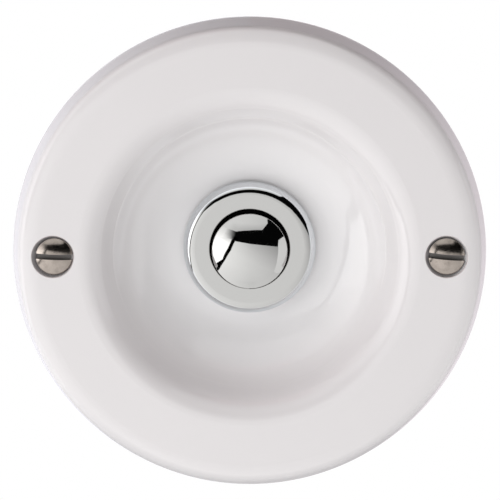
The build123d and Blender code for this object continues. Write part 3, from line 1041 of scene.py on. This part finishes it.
def paper_behind(first_azimuth):
    """The rows of a card behind the button, to the right of this azimuth."""
    return [
        [(first_azimuth + azimuth, elevation, level) for azimuth in BEHIND_AZIMUTHS]
        for elevation, level in BEHIND_LEVELS
    ]


def seen_by_camera(tree):
    """A socket that is 1 for what the camera sees directly and 0 for light on the object."""
    return tree.nodes.new("ShaderNodeLightPath").outputs["Is Camera Ray"]


def lay_floor(look):
    """A pale floor that looks plain white to the camera."""
    material, tree, shine = shining("floor")
    tree.links.new(blend_colours(tree, seen_by_camera(tree), look.floor, WHITE), shine)
    bpy.ops.mesh.primitive_circle_add(
        vertices=FLOOR_SIDES, radius=FLOOR_RADIUS, fill_type="NGON", location=(0, 0, -look.floor_drop)
    )
    floor = bpy.context.object
    floor.name = "floor"
    floor.data.materials.append(material)


def surround(scene, look):
    """A dark room that looks plain white to the camera."""
    world = bpy.data.worlds.new("studio")
    world.use_nodes = True
    scene.world = world
    tree = world.node_tree
    room = tree.nodes["Background"]
    paper = tree.nodes.new("ShaderNodeBackground")
    mix = tree.nodes.new("ShaderNodeMixShader")
    room.inputs["Color"].default_value = opaque(look.room)
    paper.inputs["Color"].default_value = opaque(WHITE)
    tree.links.new(seen_by_camera(tree), mix.inputs["Fac"])
    tree.links.new(room.outputs["Background"], mix.inputs[1])
    tree.links.new(paper.outputs["Background"], mix.inputs[2])
    tree.links.new(mix.outputs["Shader"], tree.nodes["World Output"].inputs["Surface"])
    scene.view_settings.view_transform = "Standard"


def place_camera(scene, look):
    """A camera in front of the button and a little above, aimed at the middle of the rim."""
    aim_right = 0.06 * MILLIMETRE
    aim_up = 0.05 * MILLIMETRE
    rim_depth = 6.4 * MILLIMETRE
    camera_data = bpy.data.cameras.new("camera")
    camera = bpy.data.objects.new("camera", camera_data)
    scene.collection.objects.link(camera)
    rim = Vector((aim_right, face_y + rim_depth, aim_up))
    back = Vector((0.0, -cos(look.elevation), sin(look.elevation)))
    camera.location = rim + back * look.distance
    camera.rotation_euler = (-back).to_track_quat("-Z", "Y").to_euler()
    camera_data.lens = camera_data.sensor_width * look.distance / look.field
    camera_data.clip_start = CLIP_NEAR
    camera_data.clip_end = CLIP_FAR
    scene.camera = camera


class BELLPUSH_OT_stage(Operator):
    """Set up the floor, the light cards and the camera"""

    bl_idname = "bell_push.stage"
    bl_label = "Set Up the Studio"

    def execute(self, context):
        scene = context.scene
        look = scene.bell_push_studio
        for name, rows, rgb in (
            ("softbox", SOFTBOX, look.softbox),
            ("softbox_wing", SOFTBOX_WING, look.softbox_wing),
            ("far_softbox", FAR_SOFTBOX, look.far_softbox),
            ("top_panel", TOP_PANEL, look.top_panel),
            ("ceiling", CEILING, look.ceiling),
            ("sweep", SWEEP, look.sweep),
            ("right_strip", STRIP, look.strip),
            ("behind_left", paper_behind(BEHIND_LEFT_FROM), look.behind_left),
            ("behind_right", paper_behind(BEHIND_RIGHT_FROM), look.behind_right),
        ):
            light_card(name, rows, rgb, look.card_distance)
        light_card("soft_edge", SOFT_EDGE, look.soft_edge, look.card_distance + SOFT_EDGE_GAP)
        light_card("black_flag", FLAG, WHITE, look.flag_distance)
        lay_floor(look)
        surround(scene, look)
        place_camera(scene, look)
        return {"FINISHED"}


OPERATORS = (
    BELLPUSH_OT_ceramic,
    BELLPUSH_OT_chrome,
    BELLPUSH_OT_contacts,
    BELLPUSH_OT_insulators,
    BELLPUSH_OT_fixing_screws,
    BELLPUSH_OT_spring,
    BELLPUSH_OT_stage,
)

SETTINGS = {
    "bell_push_ceramic": CeramicFinish,
    "bell_push_metal": MetalFinish,
    "bell_push_moulding": MouldingFinish,
    "bell_push_thread": ThreadShape,
    "bell_push_spring": SpringShape,
    "bell_push_studio": StudioLook,
}


class BELLPUSH_PT_panel(Panel):
    """The bell push's settings and steps"""

    bl_idname = "BELLPUSH_PT_panel"
    bl_label = "Bell Push"
    bl_space_type = "VIEW_3D"
    bl_region_type = "UI"
    bl_category = "Bell Push"

    def draw(self, context):
        for group in SETTINGS:
            settings = getattr(context.scene, group)
            box = self.layout.box()
            for setting in settings.bl_rna.properties:
                if setting.identifier in settings.__annotations__:
                    box.prop(settings, setting.identifier)
        for operator in OPERATORS:
            self.layout.operator(operator.bl_idname)


CLASSES = (*SETTINGS.values(), *OPERATORS, BELLPUSH_PT_panel)


def register():
    """Adds the classes and the scene's settings."""
    for each in CLASSES:
        bpy.utils.register_class(each)
    for name, group in SETTINGS.items():
        setattr(bpy.types.Scene, name, PointerProperty(type=group))


def unregister():
    """Takes the settings and classes away again."""
    for name in SETTINGS:
        delattr(bpy.types.Scene, name)
    for each in reversed(CLASSES):
        bpy.utils.unregister_class(each)


def main():
    register()
    bpy.ops.bell_push.ceramic()
    bpy.ops.bell_push.chrome()
    bpy.ops.bell_push.contacts()
    bpy.ops.bell_push.insulators()
    bpy.ops.bell_push.fixing_screws()
    bpy.ops.bell_push.spring()
    bpy.ops.bell_push.stage()


if __name__ == "__main__":
    main()
